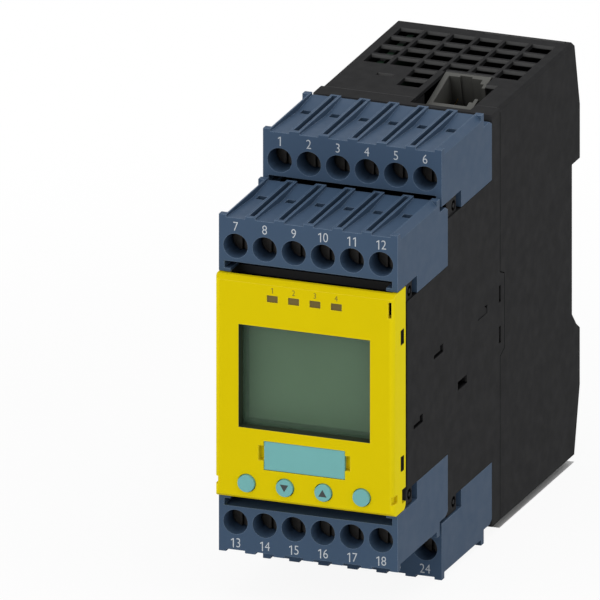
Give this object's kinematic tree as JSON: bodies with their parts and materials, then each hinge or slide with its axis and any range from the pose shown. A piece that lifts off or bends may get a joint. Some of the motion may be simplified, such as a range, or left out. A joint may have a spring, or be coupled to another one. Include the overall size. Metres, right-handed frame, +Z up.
{
  "type": "safety relay",
  "caption": "Rail-mounted safety relay with a display cover, round keys, stepped plug-in terminal blocks and a service socket.",
  "frame": {"origin": "centre of the object's box at its lowest level", "axes": "+Z up as mounted on a wall rail, the cover faces -Y, the rail is on the +Y side, +X to the right seen from the front"},
  "size_m": [0.045, 0.1246, 0.1073],
  "materials": {
    "case_black": "fine grained moulded plastic",
    "cover_yellow": "fine satin moulded plastic",
    "window_clear": "clear, faintly green",
    "frame_dark": "dark, matt",
    "lcd_green": "grey green display",
    "board_green": "solder resist",
    "teal": "satin moulded plastic",
    "light_pipe": "smoked clear plastic",
    "led_chip": "small chips",
    "switch_black": "plain",
    "socket_grey": "moulded plastic",
    "contact_gold": "gilt",
    "latch_grey": "moulded plastic",
    "block_blue": "fine grained moulded plastic",
    "screw_steel": "plated",
    "cage_steel": "plated",
    "header_black": "plain",
    "pin_brass": "tinned",
    "relay_shell": "plain",
    "transformer_shell": "plain",
    "capacitor_can": "sleeve"
  },
  "bodies": {
    "case": {"front_housing": "case_black", "rear_housing": "case_black", "front_cover": "cover_yellow", "display_window": "window_clear", "display_frame": "frame_dark", "lcd_cell": "lcd_green", "display_board": "board_green", "label_plate": "teal", "light_pipes": "light_pipe", "status_leds": "led_chip", "push_switches": "switch_black", "service_socket": "socket_grey", "socket_contacts": "contact_gold", "terminal_block_upper_front": "block_blue", "terminal_screws_upper_front": "screw_steel", "clamp_cages_upper_front": "cage_steel", "pin_header_upper_front": "header_black", "header_pins_upper_front": "pin_brass", "terminal_board_upper_front": "board_green", "terminal_block_upper_rear": "block_blue", "terminal_screws_upper_rear": "screw_steel", "clamp_cages_upper_rear": "cage_steel", "pin_header_upper_rear": "header_black", "header_pins_upper_rear": "pin_brass", "terminal_board_upper_rear": "board_green", "terminal_block_lower_front": "block_blue", "terminal_screws_lower_front": "screw_steel", "clamp_cages_lower_front": "cage_steel", "pin_header_lower_front": "header_black", "header_pins_lower_front": "pin_brass", "terminal_board_lower_front": "board_green", "terminal_block_lower_rear": "block_blue", "terminal_screws_lower_rear": "screw_steel", "clamp_cages_lower_rear": "cage_steel", "pin_header_lower_rear": "header_black", "header_pins_lower_rear": "pin_brass", "terminal_board_lower_rear": "board_green", "control_board": "board_green", "logic_board": "board_green", "upper_relay": "relay_shell", "lower_relay": "relay_shell", "transformer": "transformer_shell", "capacitors": "capacitor_can"},
    "key_left_end_body": {"key_left_end": "teal"},
    "key_down_body": {"key_down": "teal"},
    "key_up_body": {"key_up": "teal"},
    "key_right_end_body": {"key_right_end": "teal"},
    "latch_body": {"rail_latch": "latch_grey"}
  },
  "joints": [
    {"name": "key_left_end_press", "type": "slide", "parent": "case", "child": "key_left_end_body", "axis": [0, 1, 0], "range_m": [0, 0.0005], "stiffness_N_per_m": 2000},
    {"name": "key_down_press", "type": "slide", "parent": "case", "child": "key_down_body", "axis": [0, 1, 0], "range_m": [0, 0.0005], "stiffness_N_per_m": 2000},
    {"name": "key_up_press", "type": "slide", "parent": "case", "child": "key_up_body", "axis": [0, 1, 0], "range_m": [0, 0.0005], "stiffness_N_per_m": 2000},
    {"name": "key_right_end_press", "type": "slide", "parent": "case", "child": "key_right_end_body", "axis": [0, 1, 0], "range_m": [0, 0.0005], "stiffness_N_per_m": 2000},
    {"name": "latch_slide", "type": "slide", "parent": "case", "child": "latch_body", "axis": [0, 0, -1], "range_m": [0, 0.0032], "stiffness_N_per_m": 1500}
  ]
}
